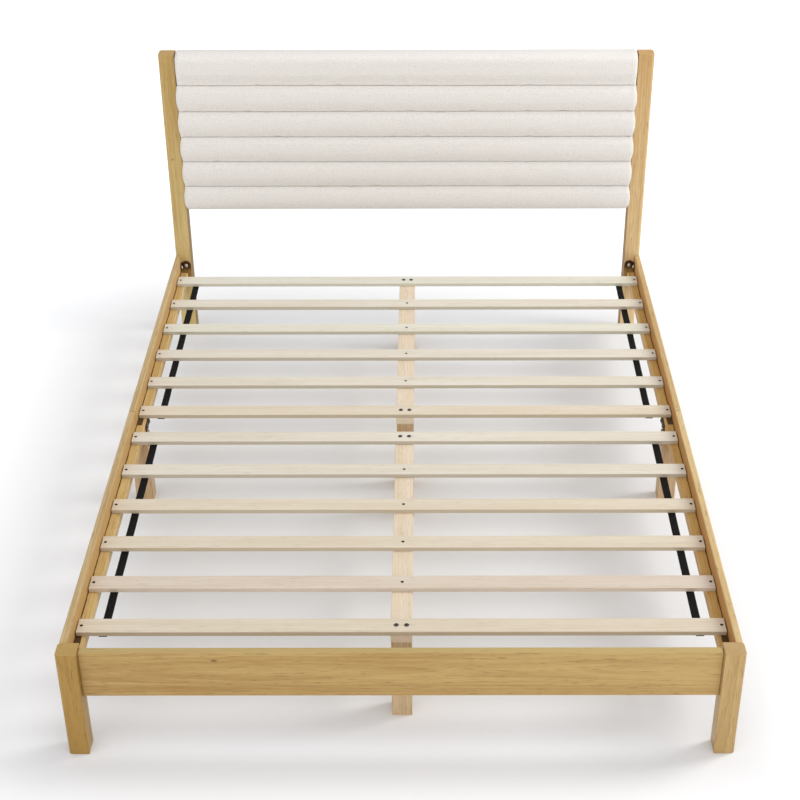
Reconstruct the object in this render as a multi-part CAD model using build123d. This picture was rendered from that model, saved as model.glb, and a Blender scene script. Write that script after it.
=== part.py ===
from build123d import *
import os

# Wooden platform bed frame with a channelled, upholstered headboard.
# Millimetres. +X is the sleeper's right seen from the foot, +Y points from foot to head,
# +Z is up. The origin is on the floor, below the middle of the frame.

# ---- the mattress that the frame is made for ----
mattress_width = 1524.0
mattress_length = 2032.0
mattress_side_gap = 20.0          # mattress to side rail, each side
mattress_end_gap = 40.0           # foot panel to head posts, beyond the mattress

# ---- posts ----
foot_post_width = 50.0
foot_post_depth = 48.0
foot_post_height = 306.0
head_post_width = 52.0
head_post_depth = 50.0
head_post_height = 1015.0
post_outer_radius = 10.0          # the two outer upright edges of each post
post_edge_radius = 2.0

# ---- foot panel ----
panel_thickness = 22.0
panel_height = 130.0
panel_top = 300.0
panel_setback = 16.0              # behind the front of the foot posts
panel_edge_radius = 3.0

# ---- side rails, each in two halves ----
rail_thickness = 18.0
rail_height = 130.0
rail_top = 300.0
rail_edge_radius = 4.0
rail_joint_shift = 8.0            # joint between the halves, from mid-rail towards the head

# ---- slats ----
slat_count = 12
slat_width = 52.0
slat_thickness = 12.0
slat_drop = 36.0                  # rail top down to slat top
slat_end_gap = 3.0
slat_edge_radius = 1.5
end_slat_distance = 114.0         # posts to the centres of the first and last slats
roll_spacing = 144.0              # centre to centre of the two slats that face each other mid-bed

# ---- ledgers that carry the slats ----
ledger_width = 25.0
ledger_height = 30.0
ledger_bracket_gap = 4.0
ledger_edge_chamfer = 1.5

# ---- legs under the rail joints ----
mid_leg_width = 50.0
mid_leg_depth = 50.0
leg_edge_radius = 2.0

# ---- centre beams and their legs ----
beam_width = 52.0
beam_thickness = 20.0
beam_edge_radius = 1.5
centre_leg_width = 50.0
centre_leg_depth = 50.0

# ---- webbing that spaces each roll of slats ----
strap_width = 20.0
strap_thickness = 1.6
strap_inset = 66.0                # rail inner face to strap centre
strap_fold = 24.0                 # doubled end
strap_end_gap = 1.0               # strap end to slat edge
staple_crown = 11.0
staple_leg = 7.0
staple_wire = 1.2
staple_edge_distance = 14.0       # from the slat's edge

# ---- corner brackets ----
bracket_flange = 32.0
bracket_plate = 3.0
bracket_height = 91.0
bracket_top = 281.0
bracket_hole_drop = 17.0          # bracket top to upper hole
bracket_hole_spacing = 56.0

# ---- fasteners ----
bolt_radius = 3.0
bolt_head_radius = 6.5
bolt_head_height = 4.0
bolt_socket_radius = 2.2
bolt_socket_depth = 2.4
bracket_bolt_length = 14.0        # below the bracket plate
insert_radius = 5.0
insert_length = 13.0
bolt_end_gap = 1.0                # beyond an insert
joint_bolt_length = 40.0
joint_plate_length = 62.0
joint_plate_height = 22.0
joint_plate_thickness = 3.0
joint_bolt_margin = 16.0          # plate end to bolt
leg_bolt_offset = 13.0            # rail joint to mid-leg bolt, along the rail
slat_screw_radius = 2.0
slat_screw_head_radius = 4.2
slat_screw_length = 34.0
slat_screw_inset = 8.5            # slat end to screw
centre_bolt_radius = 3.0
centre_bolt_head_radius = 6.0
centre_bolt_head_height = 2.4
centre_bolt_length = 70.0
centre_bolt_spacing = 25.0
dowel_radius = 5.0
dowel_length = 60.0
panel_dowel_spacing = 70.0
fit_gap = 0.1                     # radial room of a fastener in its hole

# ---- headboard ----
channel_count = 6
channel_pitch = 88.0
cushion_top = 1026.0
top_channel_height = 111.0        # the top channel, up to its roll over the board
cushion_proud = 16.0              # crown of a channel, in front of the head posts
crease_depth = 18.0               # crown of a channel back to the seam
cushion_thickness = 30.0          # crown of a channel to the board
cushion_end_gap = 0.5
channel_gap = 0.5
channel_end_radius = 9.0
top_front_radius = 34.0
top_rear_radius = 18.0
top_rear_lip = 45.0               # how far the top channel comes down the back
bottom_lip = 3.0                  # fabric under the board
top_rear_padding = 3.0            # fabric and wadding behind the top batten
board_thickness = 12.0
board_top_drop = 26.0             # cushion top down to the board's top
batten_thickness = 20.0
batten_height = 70.0
board_screw_radius = 2.0
board_screw_head_radius = 4.0
board_screw_length = 28.0
board_screw_count = 4             # in each batten
board_screw_end_distance = 118.0  # head post to the outer screws
cover_thickness = 1.2
soft_gap = 0.3

# ---- places worked out from the sizes above ----
rail_inner_x = mattress_width / 2 + mattress_side_gap
rail_outer_x = rail_inner_x + rail_thickness
bed_length = panel_setback + panel_thickness + mattress_length + mattress_end_gap + head_post_depth
foot_y = -bed_length / 2
head_y = bed_length / 2
foot_post_back_y = foot_y + foot_post_depth
panel_back_y = foot_y + panel_setback + panel_thickness
head_post_front_y = head_y - head_post_depth
rail_middle_y = (foot_post_back_y + head_post_front_y) / 2
joint_y = rail_middle_y + rail_joint_shift
foot_post_inner_x = rail_outer_x - foot_post_width
head_post_inner_x = rail_outer_x - head_post_width
rail_bottom = rail_top - rail_height
slat_top = rail_top - slat_drop
slat_bottom = slat_top - slat_thickness
ledger_bottom = slat_bottom - ledger_height
ledger_inner_x = rail_inner_x - ledger_width
slat_half_length = rail_inner_x - slat_end_gap
slat_screw_x = slat_half_length - slat_screw_inset
beam_bottom = slat_bottom - beam_thickness
strap_x = rail_inner_x - strap_inset
joint_plate_z = ledger_bottom + ledger_height / 2
bracket_bottom = bracket_top - bracket_height
upper_hole_z = bracket_top - bracket_hole_drop
lower_hole_z = upper_hole_z - bracket_hole_spacing
mid_leg_inner_x = rail_outer_x - mid_leg_width
crown_y = head_post_front_y - cushion_proud
seam_y = crown_y + crease_depth
board_front_y = crown_y + cushion_thickness
board_back_y = board_front_y + board_thickness
batten_back_y = board_back_y + batten_thickness
top_channel_bottom = cushion_top - top_channel_height
channel_bottom = top_channel_bottom - (channel_count - 1) * channel_pitch
board_top = cushion_top - board_top_drop
board_bottom = channel_bottom + bottom_lip + soft_gap
cushion_half_width = head_post_inner_x - cushion_end_gap

rolls = slat_count // 2
roll_reach = (head_post_front_y - foot_post_back_y) / 2 - end_slat_distance - roll_spacing / 2
slat_y = {}
for number in range(1, slat_count + 1):
    # slat 1 is at the head, the last slat at the foot
    if number <= rolls:
        share = (rolls - number) / (rolls - 1)
        slat_y[number] = rail_middle_y + roll_spacing / 2 + share * roll_reach
    else:
        share = (number - rolls - 1) / (slat_count - rolls - 1)
        slat_y[number] = rail_middle_y - roll_spacing / 2 - share * roll_reach
roll_slats = {"head": range(1, rolls + 1), "foot": range(rolls + 1, slat_count + 1)}
sides = {"left": -1, "right": 1}
parts = {}


def block(x, y, z):
    """A box between the low and high values of each axis."""
    size = [abs(pair[1] - pair[0]) for pair in (x, y, z)]
    middle = [(pair[0] + pair[1]) / 2 for pair in (x, y, z)]
    return Pos(*middle) * Box(*size)


def side_block(side, x, y, z):
    """A box on one side of the bed, x measured outwards from the middle."""
    return block((side * x[0], side * x[1]), y, z)


def drill(start, axis, radius, length):
    """A cylinder that begins at a point and runs along an axis."""
    plane = Plane(origin=start, z_dir=axis)
    return plane * Cylinder(radius, length, align=(Align.CENTER, Align.CENTER, Align.MIN))


def cap_bolt(seat, axis, length, radius, head_radius, head_height):
    """A bolt whose head rests at the seat, its shank along the axis, with a round socket."""
    out = [-value for value in axis]
    top = [seat[i] + out[i] * head_height for i in range(3)]
    shape = drill(seat, out, head_radius, head_height)
    shape += drill(seat, axis, radius, length)
    return shape - drill(top, axis, bolt_socket_radius, bolt_socket_depth)


def long_edges(shape, axis, radius):
    """Round the edges that run along one axis."""
    return fillet(shape.edges().filter_by(axis), radius)


# ---- fastener positions, so that the holes and the fasteners agree ----
def bracket_seats():
    """Seat and direction for every corner-bracket bolt."""
    seats = []
    for side in sides.values():
        for end, face_y in ((-1, foot_post_back_y), (1, head_post_front_y)):
            for z in (upper_hole_z, lower_hole_z):
                middle = bracket_flange / 2
                post_seat = (side * (rail_inner_x - middle), face_y - end * bracket_plate, z)
                rail_seat = (side * (rail_inner_x - bracket_plate), face_y - end * middle, z)
                seats.append((post_seat, (0, end, 0)))
                seats.append((rail_seat, (side, 0, 0)))
    return seats


def joint_seats():
    """Seat and direction for the bolts at each rail joint: two through the plate, two through the leg."""
    seats = []
    plate_x = ledger_inner_x - joint_plate_thickness
    tongue_z = (rail_bottom + ledger_bottom) / 2
    for side in sides.values():
        for along in (joint_bolt_margin, joint_plate_length - joint_bolt_margin):
            seats.append(((side * plate_x, joint_y + along, joint_plate_z), (side, 0, 0)))
        for along in (-leg_bolt_offset, leg_bolt_offset):
            seats.append(((side * mid_leg_inner_x, joint_y + along, tongue_z), (side, 0, 0)))
    return seats


def dowel_spots():
    """Middle of every dowel, all of them along X."""
    spots = []
    panel_y = panel_back_y - panel_thickness / 2
    batten_y = (board_back_y + batten_back_y) / 2
    for side in sides.values():
        for z in (-panel_dowel_spacing / 2, panel_dowel_spacing / 2):
            spots.append((side * foot_post_inner_x, panel_y, panel_top - panel_height / 2 + z))
        for batten_z in batten_levels().values():
            for z in (-batten_height / 4, batten_height / 4):
                spots.append((side * head_post_inner_x, batten_y, batten_z + z))
    return spots


def batten_levels():
    """Mid height of the two battens behind the board."""
    return {"top": board_top - batten_height / 2, "bottom": board_bottom + batten_height / 2}


def bolt_holes(seats, length):
    """Clearance holes for the bolts at some seats."""
    return [drill(seat, axis, bolt_radius + fit_gap, length) for seat, axis in seats]


def insert_holes():
    """Holes for the threaded inserts of the bracket bolts."""
    holes = []
    for seat, axis in bracket_seats():
        start = [seat[i] + axis[i] * bracket_plate for i in range(3)]
        holes.append(drill(start, axis, insert_radius, insert_length))
    return holes


def dowel_cuts():
    """Blind holes for the dowels."""
    start = -dowel_length / 2
    return [drill((x + start, y, z), (1, 0, 0), dowel_radius, dowel_length) for x, y, z in dowel_spots()]


def cut_near(shape, tools):
    """Take out the tools whose boxes meet the shape's box."""
    around = shape.bounding_box()
    for tool in tools:
        box = tool.bounding_box()
        apart = [
            box.min.X > around.max.X or box.max.X < around.min.X,
            box.min.Y > around.max.Y or box.max.Y < around.min.Y,
            box.min.Z > around.max.Z or box.max.Z < around.min.Z,
        ]
        if not any(apart):
            shape -= tool
    return shape


bracket_bolt_holes = bolt_holes(bracket_seats(), bracket_plate + insert_length + bolt_end_gap)
joint_bolt_holes = bolt_holes(joint_seats(), joint_bolt_length)
holes = insert_holes() + bracket_bolt_holes + joint_bolt_holes + dowel_cuts()


# ---- posts ----
def post(side, inner_x, y, height):
    """A square post, rounder on the two edges that face away from the bed."""
    shape = side_block(side, (inner_x, rail_outer_x), y, (0, height))
    upright = shape.edges().filter_by(Axis.Z)
    outer = [edge for edge in upright if abs(edge.center().X) > (inner_x + rail_outer_x) / 2]
    shape = fillet(outer, post_outer_radius)
    rims = shape.faces().sort_by(Axis.Z)
    shape = fillet(rims[-1].edges() + rims[0].edges(), post_edge_radius)
    return cut_near(shape, holes)


for name, side in sides.items():
    foot_span = (foot_y, foot_post_back_y)
    head_span = (head_post_front_y, head_y)
    parts[f"foot_post_{name}"] = post(side, foot_post_inner_x, foot_span, foot_post_height)
    parts[f"head_post_{name}"] = post(side, head_post_inner_x, head_span, head_post_height)

# ---- foot panel ----
panel = block(
    (-foot_post_inner_x, foot_post_inner_x),
    (panel_back_y - panel_thickness, panel_back_y),
    (panel_top - panel_height, panel_top),
)
parts["foot_panel"] = cut_near(long_edges(panel, Axis.X, panel_edge_radius), holes)

# ---- side rails and ledgers ----
half_spans = {"foot": (foot_post_back_y, joint_y), "head": (joint_y, head_post_front_y)}
bracket_room = bracket_flange + ledger_bracket_gap


def slat_screw_cuts(x, bottom_z):
    """Pilot holes for the slat screws that go down at one x."""
    cuts = []
    for y in slat_y.values():
        depth = slat_top - bottom_z
        cuts.append(drill((x, y, slat_top), (0, 0, -1), slat_screw_radius + fit_gap, depth))
    return cuts


for name, side in sides.items():
    pilot = slat_screw_cuts(side * slat_screw_x, slat_top - slat_screw_length)
    for half, span in half_spans.items():
        rail = side_block(side, (rail_inner_x, rail_outer_x), span, (rail_bottom, rail_top))
        rail = long_edges(rail, Axis.Y, rail_edge_radius)
        parts[f"side_rail_{name}_{half}"] = cut_near(rail, holes)

        inset = {"foot": (bracket_room, 0), "head": (0, -bracket_room)}[half]
        reach = (span[0] + inset[0], span[1] + inset[1])
        ledger = side_block(side, (ledger_inner_x, rail_inner_x), reach, (ledger_bottom, slat_bottom))
        inner = [edge for edge in ledger.edges().filter_by(Axis.Y)
                 if abs(abs(edge.center().X) - ledger_inner_x) < ledger_edge_chamfer]
        ledger = chamfer(inner, ledger_edge_chamfer)
        parts[f"ledger_{name}_{half}"] = cut_near(cut_near(ledger, pilot), holes)

# ---- legs under the rail joints: a shoulder for the rails, a tongue behind them ----
for name, side in sides.items():
    reach = (joint_y - mid_leg_depth / 2, joint_y + mid_leg_depth / 2)
    leg = side_block(side, (mid_leg_inner_x, rail_outer_x), reach, (0, rail_bottom))
    leg = long_edges(leg, Axis.Z, leg_edge_radius)
    tongue = side_block(side, (mid_leg_inner_x, rail_inner_x), reach, (rail_bottom, ledger_bottom))
    tongue = long_edges(tongue, Axis.Z, leg_edge_radius)
    parts[f"mid_leg_{name}"] = cut_near(leg + tongue, holes)

# ---- slats ----
centre_bolt_slats = (1, rolls, rolls + 1, slat_count)


# the way along the bed in which each strap ends, at the slats where it ends doubled
strap_ends = {1: 1, rolls: -1, rolls + 1: 1, slat_count: -1}


def staple_spots(number):
    """Middle and underside of the strap at each staple under one slat."""
    shift = slat_width / 2 - staple_edge_distance
    spots = []
    for along in (-1, 1):
        layers = 2 if strap_ends.get(number) == along else 1
        for side in sides.values():
            under = slat_bottom - layers * strap_thickness
            spots.append((side * strap_x, slat_y[number] + along * shift, under))
    return spots


def staple_solid(x, y, under):
    """A wide-crown staple driven up through the strap into the slat."""
    half = staple_crown / 2
    wire = staple_wire / 2
    crown = block((x - half, x + half), (y - wire, y + wire), (under - staple_wire, under))
    tip = slat_bottom + staple_leg
    for leg_x in (x - half, x + half - staple_wire):
        crown += block((leg_x, leg_x + staple_wire), (y - wire, y + wire), (under - wire, tip))
    return crown


def centre_bolt_spots(number):
    """X and y of the fasteners that hold a slat to the centre beam."""
    if number not in centre_bolt_slats:
        return [(0, slat_y[number])]
    return [(side * centre_bolt_spacing / 2, slat_y[number]) for side in sides.values()]


staples = {number: [staple_solid(*spot) for spot in staple_spots(number)] for number in slat_y}


def slat_screw(x, y):
    """A countersunk wood screw, flush with the slat."""
    head = Plane(origin=(x, y, slat_top)) * Cone(
        slat_screw_radius, slat_screw_head_radius, slat_screw_head_radius - slat_screw_radius,
        align=(Align.CENTER, Align.CENTER, Align.MAX),
    )
    return head + drill((x, y, slat_top), (0, 0, -1), slat_screw_radius, slat_screw_length)


slat_screws = []
centre_bolts = []
for number, y in slat_y.items():
    slat = block(
        (-slat_half_length, slat_half_length),
        (y - slat_width / 2, y + slat_width / 2),
        (slat_bottom, slat_top),
    )
    slat = long_edges(slat, Axis.X, slat_edge_radius)
    screws = [slat_screw(side * slat_screw_x, y) for side in sides.values()]
    bolts = []
    for x, bolt_y in centre_bolt_spots(number):
        if number in centre_bolt_slats:
            seat = (x, bolt_y, slat_top)
            bolts.append(cap_bolt(seat, (0, 0, -1), centre_bolt_length, centre_bolt_radius,
                                  centre_bolt_head_radius, centre_bolt_head_height))
        else:
            screws.append(slat_screw(x, bolt_y))
    parts[f"slat_{number:02d}"] = cut_near(slat, screws + bolts + staples[number])
    slat_screws += screws
    centre_bolts += bolts

# ---- centre beams and their legs ----
centre_legs = {"foot": ("1", "2"), "head": ("3", "4")}
for half, numbers in roll_slats.items():
    ends = sorted((slat_y[numbers[0]], slat_y[numbers[-1]]))
    reach = (ends[0] - slat_width / 2, ends[1] + slat_width / 2)
    beam = block((-beam_width / 2, beam_width / 2), reach, (beam_bottom, slat_bottom))
    beam = long_edges(beam, Axis.Y, beam_edge_radius)
    parts[f"centre_beam_{half}"] = cut_near(cut_near(beam, slat_screws), centre_bolts)

    starts = (reach[0], reach[1] - centre_leg_depth)
    for label, start in zip(centre_legs[half], starts):
        leg = block(
            (-centre_leg_width / 2, centre_leg_width / 2),
            (start, start + centre_leg_depth),
            (0, beam_bottom),
        )
        leg = long_edges(leg, Axis.Z, leg_edge_radius)
        parts[f"centre_leg_{label}"] = cut_near(leg, centre_bolts)

# ---- webbing straps, doubled at their ends, and the staples ----
for name, side in sides.items():
    for half, numbers in roll_slats.items():
        ends = sorted((slat_y[numbers[0]], slat_y[numbers[-1]]))
        overhang = slat_width / 2 - strap_end_gap
        reach = (ends[0] - overhang, ends[1] + overhang)
        across = (strap_x - strap_width / 2, strap_x + strap_width / 2)
        strap = side_block(side, across, reach, (slat_bottom - strap_thickness, slat_bottom))
        for fold in ((reach[0], reach[0] + strap_fold), (reach[1] - strap_fold, reach[1])):
            strap += side_block(side, across, fold, (slat_bottom - 2 * strap_thickness, slat_bottom))
        held = [staple for number in numbers for staple in staples[number]]
        parts[f"webbing_strap_{name}_{half}"] = cut_near(strap, held)
parts["strap_staples"] = Compound([staple for group in staples.values() for staple in group])

# ---- corner brackets with round-topped flanges ----
def flange(foot, outward):
    """A flange with a round top, from the middle of its lower edge on the wood."""
    radius = bracket_flange / 2
    straight = bracket_height - radius
    outline = Pos(0, straight / 2) * Rectangle(bracket_flange, straight) + Pos(0, straight) * Circle(radius)
    plane = Plane(origin=foot, x_dir=(-outward[1], outward[0], 0), z_dir=outward)
    return extrude(plane * outline, bracket_plate)


for name, side in sides.items():
    for half, end, face_y in (("foot", -1, foot_post_back_y), ("head", 1, head_post_front_y)):
        reach = bracket_flange / 2
        on_post = flange((side * (rail_inner_x - reach), face_y, bracket_bottom), (0, -end, 0))
        on_rail = flange((side * rail_inner_x, face_y - end * reach, bracket_bottom), (-side, 0, 0))
        parts[f"corner_bracket_{half}_{name}"] = cut_near(on_post + on_rail, bracket_bolt_holes)

# ---- plates that tie the ledgers to the rails beside each rail joint ----
joint_plates = []
for side in sides.values():
    plate = side_block(
        side,
        (ledger_inner_x - joint_plate_thickness, ledger_inner_x),
        (joint_y, joint_y + joint_plate_length),
        (joint_plate_z - joint_plate_height / 2, joint_plate_z + joint_plate_height / 2),
    )
    joint_plates.append(cut_near(plate, joint_bolt_holes))
parts["rail_joint_plates"] = Compound(joint_plates)

# ---- bolts, inserts and screws, each kind in one node ----
def frame_bolt(seat, axis, length):
    """The kind of bolt used in the brackets and at the rail joints."""
    return cap_bolt(seat, axis, length, bolt_radius, bolt_head_radius, bolt_head_height)


bracket_bolts = []
inserts = []
for seat, axis in bracket_seats():
    bracket_bolts.append(frame_bolt(seat, axis, bracket_bolt_length))
    start = [seat[i] + axis[i] * bracket_plate for i in range(3)]
    sleeve = drill(start, axis, insert_radius, insert_length)
    inserts.append(sleeve - drill(start, axis, bolt_radius + fit_gap, insert_length))
parts["bracket_bolts"] = Compound(bracket_bolts)
parts["bracket_inserts"] = Compound(inserts)

parts["rail_joint_bolts"] = Compound([frame_bolt(*seat, joint_bolt_length) for seat in joint_seats()])
parts["slat_screws"] = Compound(slat_screws)
parts["centre_leg_bolts"] = Compound(centre_bolts)
parts["dowels"] = Compound(dowel_cuts())

# ---- headboard: board, battens, channels and back cover ----
board = block(
    (-head_post_inner_x, head_post_inner_x),
    (board_front_y, board_back_y),
    (board_bottom, board_top),
)


def board_screw(x, z):
    """A screw driven forwards through a batten into the board."""
    seat = (x, batten_back_y, z)
    depth = board_screw_head_radius - board_screw_radius
    head = Plane(origin=seat, z_dir=(0, 1, 0)) * Cone(
        board_screw_radius, board_screw_head_radius, depth, align=(Align.CENTER, Align.CENTER, Align.MAX)
    )
    return head + drill(seat, (0, -1, 0), board_screw_radius, board_screw_length)


board_screws = []
outer_screw_x = head_post_inner_x - board_screw_end_distance
screw_step = 2 * outer_screw_x / (board_screw_count - 1)
for z in batten_levels().values():
    for count in range(board_screw_count):
        board_screws.append(board_screw(count * screw_step - outer_screw_x, z))
parts["board_screws"] = Compound(board_screws)
parts["headboard_board"] = cut_near(board, board_screws)

for name, z in batten_levels().items():
    batten = block(
        (-head_post_inner_x, head_post_inner_x),
        (board_back_y, batten_back_y),
        (z - batten_height / 2, z + batten_height / 2),
    )
    parts[f"headboard_{name}_batten"] = cut_near(cut_near(batten, board_screws), holes)

parts["headboard_back_cover"] = block(
    (-cushion_half_width, cushion_half_width),
    (batten_back_y, batten_back_y + cover_thickness),
    (board_bottom, cushion_top - top_rear_lip - soft_gap),
)

across_plane = Plane(origin=(-cushion_half_width, 0, 0), x_dir=(0, 1, 0), z_dir=(1, 0, 0))


def channel(outline):
    """Run a channel's section from post to post and soften its two ends."""
    shape = extrude(across_plane * outline, 2 * cushion_half_width)
    by_x = shape.faces().sort_by(Axis.X)
    ends = [edge for edge in by_x[0].edges() + by_x[-1].edges() if edge.center().Y < seam_y]
    return fillet(ends, channel_end_radius)


def front_bow(low, high):
    """The bowed front of one channel, as a closed section in Y and Z."""
    middle = (low + high) / 2
    bow = ThreePointArc((seam_y, low), (crown_y, middle), (seam_y, high))
    close = Polyline((seam_y, high), (board_front_y, high), (board_front_y, low), (seam_y, low))
    return make_face(Curve() + [bow, close])


for index in range(1, channel_count):
    low = top_channel_bottom - index * channel_pitch + channel_gap / 2
    high = low + channel_pitch - channel_gap
    section = front_bow(low, high)
    if index == channel_count - 1:
        lip_y = (board_front_y + batten_back_y) / 2
        lip = Rectangle(batten_back_y - board_front_y, bottom_lip)
        section += Pos(lip_y, channel_bottom + bottom_lip / 2) * lip
    parts[f"channel_{index + 1}"] = channel(section)

top_rear_y = batten_back_y + top_rear_padding
top_face = make_face(Polyline(
    (seam_y, top_channel_bottom + channel_gap / 2),
    (crown_y, top_channel_bottom + channel_pitch / 2),
    (crown_y, cushion_top),
    (top_rear_y, cushion_top),
    (top_rear_y, cushion_top - top_rear_lip),
    (batten_back_y, cushion_top - top_rear_lip),
    (batten_back_y, board_top + soft_gap),
    (board_front_y, board_top + soft_gap),
    (board_front_y, top_channel_bottom + channel_gap / 2),
    close=True,
))
rounded = (
    (crown_y, cushion_top, top_front_radius),
    (top_rear_y, cushion_top, top_rear_radius),
    (crown_y, top_channel_bottom + channel_pitch / 2, top_front_radius),
)
for corner_y, corner_z, radius in rounded:
    corner = top_face.vertices().sort_by_distance((corner_y, corner_z, 0))[0]
    top_face = fillet(corner, radius)
parts["channel_1"] = channel(top_face)

os.makedirs("parts", exist_ok=True)
for name, shape in parts.items():
    export_step(shape, f"parts/{name}.step")
print(len(parts), "nodes")
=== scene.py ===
import math
import random

import bmesh
import bpy
import numpy as np
from mathutils import Matrix, Vector, noise


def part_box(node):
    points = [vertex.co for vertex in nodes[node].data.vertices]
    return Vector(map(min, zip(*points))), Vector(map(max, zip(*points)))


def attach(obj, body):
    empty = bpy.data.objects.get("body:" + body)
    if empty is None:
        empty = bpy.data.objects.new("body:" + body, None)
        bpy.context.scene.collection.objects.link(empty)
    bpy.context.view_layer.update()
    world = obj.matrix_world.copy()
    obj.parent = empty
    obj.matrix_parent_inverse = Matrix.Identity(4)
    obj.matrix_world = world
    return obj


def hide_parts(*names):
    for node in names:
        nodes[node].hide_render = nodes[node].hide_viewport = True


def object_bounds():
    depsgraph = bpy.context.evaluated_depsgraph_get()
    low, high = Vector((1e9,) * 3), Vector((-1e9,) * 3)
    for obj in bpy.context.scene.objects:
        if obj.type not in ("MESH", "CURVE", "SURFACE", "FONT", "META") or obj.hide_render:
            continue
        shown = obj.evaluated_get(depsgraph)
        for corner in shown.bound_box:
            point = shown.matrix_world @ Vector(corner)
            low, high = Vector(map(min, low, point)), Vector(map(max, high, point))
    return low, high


# A wooden platform bed frame with a channelled, upholstered headboard. Metres, with the head
# of the bed towards +Y and the floor at Z = 0.
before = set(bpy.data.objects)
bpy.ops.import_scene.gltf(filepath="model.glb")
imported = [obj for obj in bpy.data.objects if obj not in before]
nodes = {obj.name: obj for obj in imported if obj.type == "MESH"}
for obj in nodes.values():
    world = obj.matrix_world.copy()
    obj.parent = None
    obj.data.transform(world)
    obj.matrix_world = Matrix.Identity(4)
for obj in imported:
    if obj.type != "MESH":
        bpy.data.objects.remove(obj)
cad_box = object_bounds()


# ---- The four posts ----
# Square posts of solid rubberwood, planed, sanded and rounded over on the two outer edges.
# The grain runs up them, and they have one thin coat of clear satin lacquer.
def paint(red, green, blue):
    """A colour from the paint maker's 0 to 255 card, as the linear colour of a shader."""
    return tuple((channel / 255) ** 2.2 for channel in (red, green, blue)) + (1.0,)


class Wire:
    """A shader socket used in arithmetic: each operator adds a Math node behind it."""

    def __init__(self, tree, socket):
        self.tree = tree
        self.socket = socket

    def node(self, kind, settings, sockets, output=0):
        """Add a node of any type: first its settings, then the values or wires of its sockets."""
        made = self.tree.nodes.new("ShaderNode" + kind)
        for name, value in settings.items():
            if name == "stops":
                ramp = made.color_ramp.elements
                ramp[0].position, ramp[0].color = value[0]
                ramp[1].position, ramp[1].color = value[-1]
                for position, colour in value[1:-1]:
                    ramp.new(position).color = colour
            else:
                setattr(made, name, value)
        for name, value in sockets.items():
            if isinstance(value, Wire):
                self.tree.links.new(value.socket, made.inputs[name])
            else:
                made.inputs[name].default_value = value
        return Wire(self.tree, made.outputs[output])

    def output(self, name):
        """Another output of the node that this wire comes from."""
        return Wire(self.tree, self.socket.node.outputs[name])

    def maths(self, operation, *values):
        """A Math node on the values given, or else on this wire alone."""
        return self.node("Math", {"operation": operation}, dict(enumerate(values or (self,))))

    def __add__(self, other):
        return self.maths("ADD", self, other)

    def __radd__(self, other):
        return self.maths("ADD", other, self)

    def __sub__(self, other):
        return self.maths("SUBTRACT", self, other)

    def __rsub__(self, other):
        return self.maths("SUBTRACT", other, self)

    def __mul__(self, other):
        return self.maths("MULTIPLY", self, other)

    def __rmul__(self, other):
        return self.maths("MULTIPLY", other, self)

    def __truediv__(self, other):
        return self.maths("DIVIDE", self, other)

    def __pow__(self, other):
        return self.maths("POWER", self, other)

    def __gt__(self, other):
        return self.maths("GREATER_THAN", self, other)

    def __lt__(self, other):
        return self.maths("LESS_THAN", self, other)


def new_finish(name):
    """An empty material: the material, its shader and the wire of its Object coordinates."""
    material = bpy.data.materials.new(name)
    material.use_nodes = True
    tree = material.node_tree
    place = Wire(tree, tree.nodes.new("ShaderNodeTexCoord").outputs["Object"])
    return material, tree.nodes["Principled BSDF"], place


def feed(shader, **wires):
    """Lead wires to the shader's sockets, with _ for a space in a socket's name."""
    for name, wire in wires.items():
        wire.tree.links.new(wire.socket, shader.inputs[name.replace("_", " ")])


def between(share, under, over, how="MIX"):
    """A colour between two others, by the share of the second."""
    sockets = {0: share, 6: under, 7: over}
    return share.node("Mix", {"data_type": "RGBA", "blend_type": how}, sockets, 2)


def grey_steps(wire, *steps):
    """A ramp of greys, from pairs of position and brightness."""
    stops = [(position, (level, level, level, 1.0)) for position, level in steps]
    return wire.node("ValToRGB", {"stops": stops}, {0: wire})


def grain_noise(spot, crosswise, lengthwise, detail=2.0, shift=0.0):
    """Noise drawn out along the grain, at so many waves to the metre."""
    across, up, along = spot
    drawn = along.node("CombineXYZ", {}, {
        "X": across * crosswise + shift, "Y": up * crosswise, "Z": along * lengthwise})
    return along.node("TexNoise", {}, {
        "Vector": drawn, "Scale": 1.0, "Detail": detail, "Roughness": 0.6})


sawn_skin = 0.0004
face_skin = 0.0006
glue_line = 0.0006


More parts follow.
